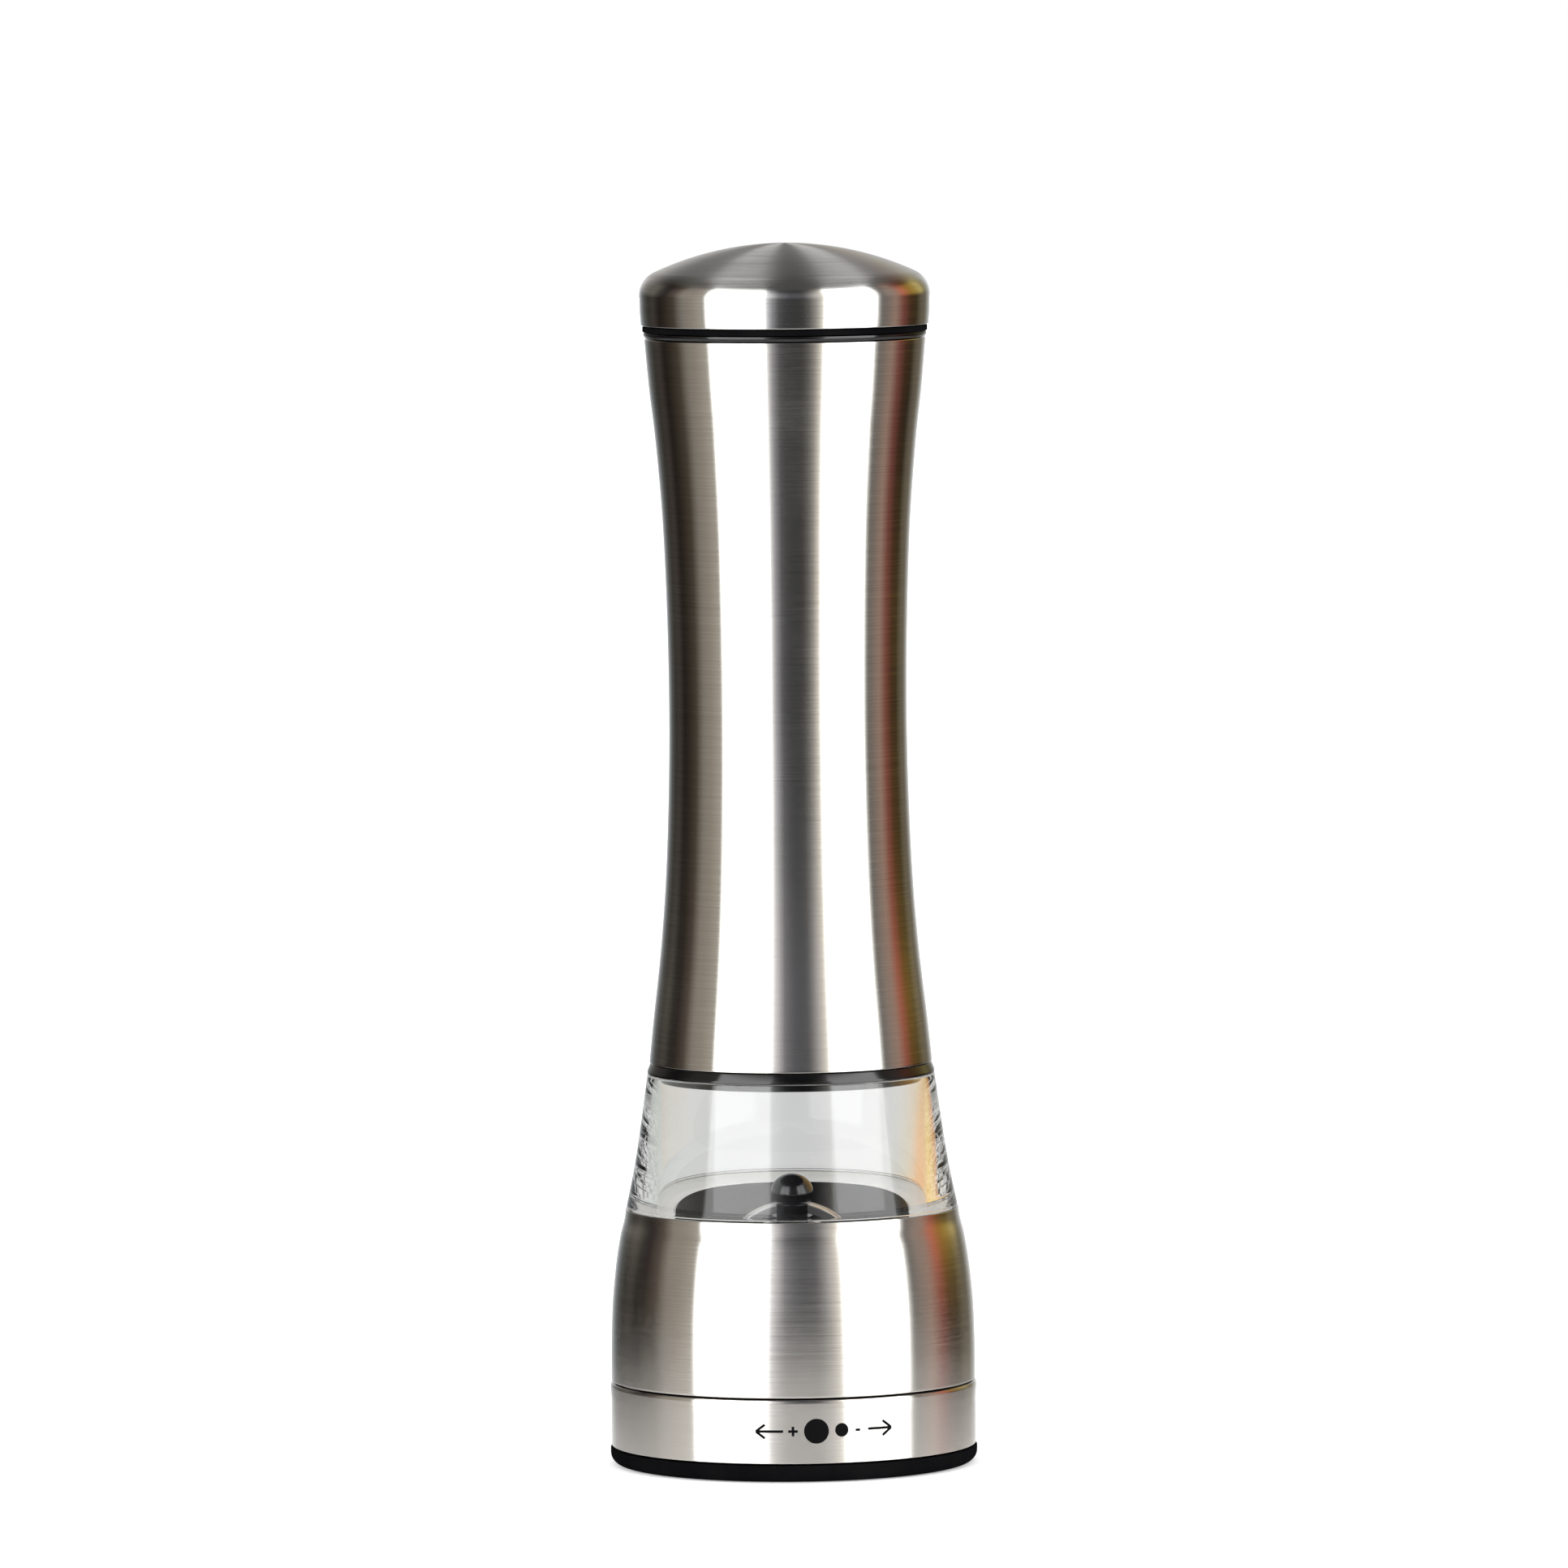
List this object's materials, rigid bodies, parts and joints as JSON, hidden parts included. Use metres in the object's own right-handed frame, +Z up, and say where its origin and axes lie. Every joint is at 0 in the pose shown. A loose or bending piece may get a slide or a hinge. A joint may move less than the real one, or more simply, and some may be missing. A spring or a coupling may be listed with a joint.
{
  "type": "pepper mill",
  "caption": "Tall waisted steel pepper mill with a domed pull-off cap, clear window and a coarseness ring in the base.",
  "frame": {"origin": "centre of the footprint, on the surface the mill stands on", "axes": "+Z up along the mill's axis; the printed marks on the coarseness ring face -Y; +X is to the right seen from the front"},
  "size_m": [0.065, 0.065, 0.2157],
  "materials": {
    "brushed_steel": "brushed around the axis",
    "bright_steel": "bright",
    "black_gloss": "gloss",
    "black_plastic": "satin",
    "acrylic": "clear, polished",
    "silicone": "translucent matte",
    "ceramic": "unglazed",
    "acetal": "satin"
  },
  "bodies": {
    "base": {"base_shell": "brushed_steel", "base_housing": "black_plastic", "glide_ring": "acetal", "ring_clip": "bright_steel", "detent_ball": "bright_steel", "detent_spring": "bright_steel"},
    "adjust_ring": {"foot_ring": "black_plastic", "adjust_ring_shell": "brushed_steel", "adjust_ring_core": "black_plastic"},
    "burr_carrier": {"stator_carrier": "black_plastic", "stator_burr": "ceramic"},
    "hopper": {"hopper_floor": "black_plastic", "retaining_ring": "black_plastic", "retainer_screw_1": "bright_steel", "retainer_screw_2": "bright_steel", "retainer_screw_3": "bright_steel", "window_seat": "silicone", "window": "acrylic", "bridge": "bright_steel", "bridge_screw_left": "bright_steel", "bridge_screw_right": "bright_steel", "spindle": "bright_steel", "spindle_hub": "black_gloss", "spindle_knob": "black_gloss", "burr_spring": "bright_steel", "spring_washer": "bright_steel", "rotor_burr": "ceramic", "rotor_washer": "bright_steel", "spindle_nut": "bright_steel", "bottom_collar": "black_plastic", "body_shell": "brushed_steel", "top_collar": "black_gloss"},
    "cap": {"cap_shell": "brushed_steel", "cap_plug": "black_gloss", "cap_seal": "silicone"}
  },
  "joints": [
    {"name": "grind_twist", "type": "hinge", "parent": "base", "child": "hopper", "pos_m": [0, 0, 0.0376], "axis": [0, 0, 1], "continuous": true},
    {"name": "adjust_turn", "type": "hinge", "parent": "base", "child": "adjust_ring", "pos_m": [0, 0, 0.0088], "axis": [0, 0, 1], "range_deg": [-90, 90]},
    {"name": "burr_lift", "type": "slide", "parent": "base", "child": "burr_carrier", "axis": [0, 0, 1], "range_m": [-0.00101, 0.00101]},
    {"name": "cap_lift", "type": "slide", "parent": "hopper", "child": "cap", "axis": [0, 0, 1], "range_m": [0, 0.04]}
  ],
  "couplings": [
    {"joint": "burr_lift", "follows": "adjust_turn", "m_per_rad": -0.00063662}
  ]
}
